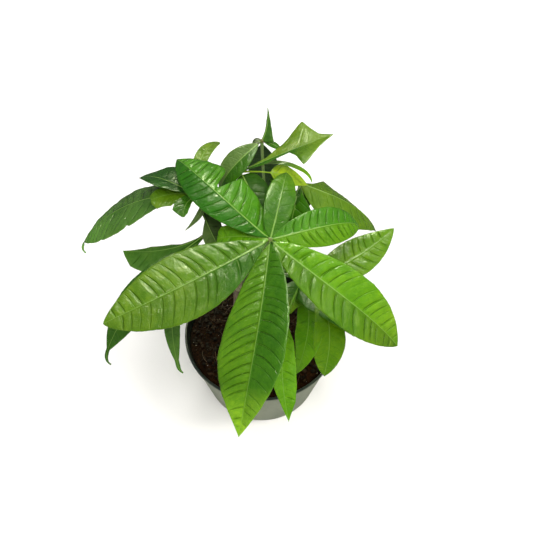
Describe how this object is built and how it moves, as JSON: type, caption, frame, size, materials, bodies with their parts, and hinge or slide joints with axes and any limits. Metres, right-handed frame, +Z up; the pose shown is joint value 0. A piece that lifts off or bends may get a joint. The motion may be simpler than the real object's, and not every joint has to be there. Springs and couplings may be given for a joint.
{
  "type": "potted money tree",
  "caption": "Small money tree in a round shallow nursery pot: cut stout trunk, green shoot and palmate leaves of long pointed leaflets that spread and droop well past the rim.",
  "frame": {"origin": "middle of the pot's flat underside, where it rests", "axes": "+Z up out of the pot, -Y towards the side the picture was taken from, +X to the right as seen from that side"},
  "size_m": [0.2951, 0.2976, 0.2708],
  "materials": {
    "pot_plastic": "satin, faintly scuffed",
    "potting_soil": "rough, crumbly, moist",
    "bark": "rough bark with pale marks",
    "green_stem": "smooth, satin",
    "leaf": "glossy leaf with pleated side veins and a pale midrib"
  },
  "bodies": {
    "root": {"pot": "pot_plastic", "soil": "potting_soil", "trunk": "bark", "shoot": "green_stem", "leaf_a": "leaf", "leaf_b": "leaf", "leaf_c": "leaf", "leaf_d": "leaf", "leaf_e": "leaf", "leaf_f": "leaf", "leaf_h": "leaf"}
  },
  "joints": []
}
